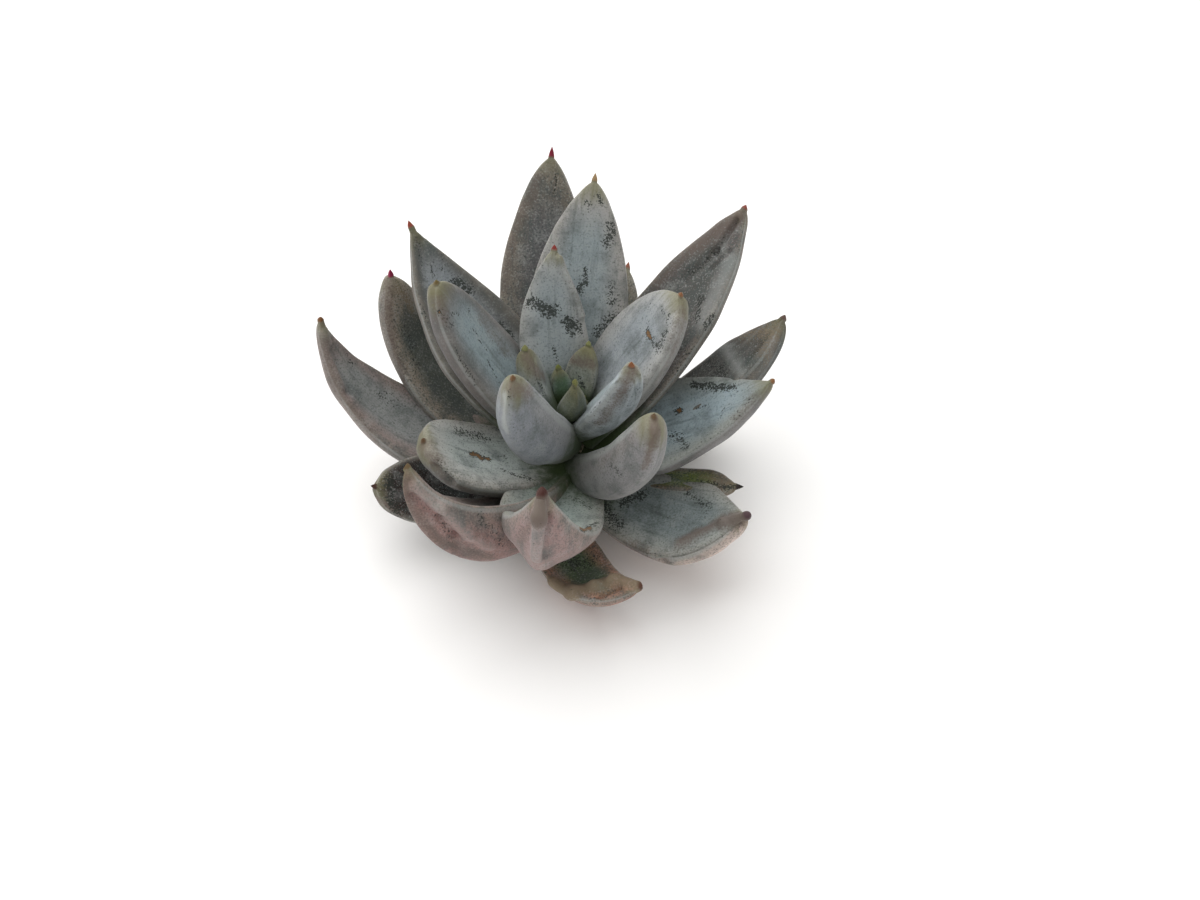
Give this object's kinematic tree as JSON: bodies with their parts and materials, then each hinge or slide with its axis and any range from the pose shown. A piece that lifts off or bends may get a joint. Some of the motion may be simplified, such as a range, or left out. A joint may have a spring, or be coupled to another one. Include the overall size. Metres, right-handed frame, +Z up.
{
  "type": "echeveria unguiculata rosette",
  "caption": "Loose rosette of thick blue-grey leaves with small pointed claws, standing on its cut stem and lowest leaves",
  "frame": {"origin": "middle of the stem's flat cut end, on the surface that the rosette rests on", "axes": "+Z up along the stem, -Y towards the viewer of the picture, +X to the viewer's right"},
  "size_m": [0.05, 0.0454, 0.0317],
  "materials": {
    "heart_leaf": "grey-green leaf skin under a thin waxy bloom, satin",
    "young_leaf": "blue-grey leaf skin under a chalky waxy bloom, matte, rubbed dark in places",
    "old_leaf": "brown-grey leaf skin under a speckled waxy bloom, matte",
    "stem": "dull green-brown stem skin with pale leaf scars"
  },
  "bodies": {
    "root": {"stem": "stem", "bud": "heart_leaf", "leaf_00": "heart_leaf", "leaf_01": "heart_leaf", "leaf_02": "heart_leaf", "leaf_03": "heart_leaf", "leaf_04": "heart_leaf", "leaf_05": "young_leaf", "leaf_06": "young_leaf", "leaf_07": "young_leaf", "leaf_08": "young_leaf", "leaf_09": "young_leaf", "leaf_10": "young_leaf", "leaf_11": "young_leaf", "leaf_12": "young_leaf", "leaf_13": "young_leaf", "leaf_14": "young_leaf", "leaf_15": "old_leaf", "leaf_16": "old_leaf", "leaf_17": "old_leaf", "leaf_18": "old_leaf", "leaf_19": "old_leaf", "leaf_20": "old_leaf", "leaf_21": "old_leaf", "leaf_22": "old_leaf", "leaf_23": "old_leaf", "leaf_24": "old_leaf", "leaf_25": "old_leaf", "leaf_26": "old_leaf", "leaf_28": "old_leaf"}
  },
  "joints": []
}
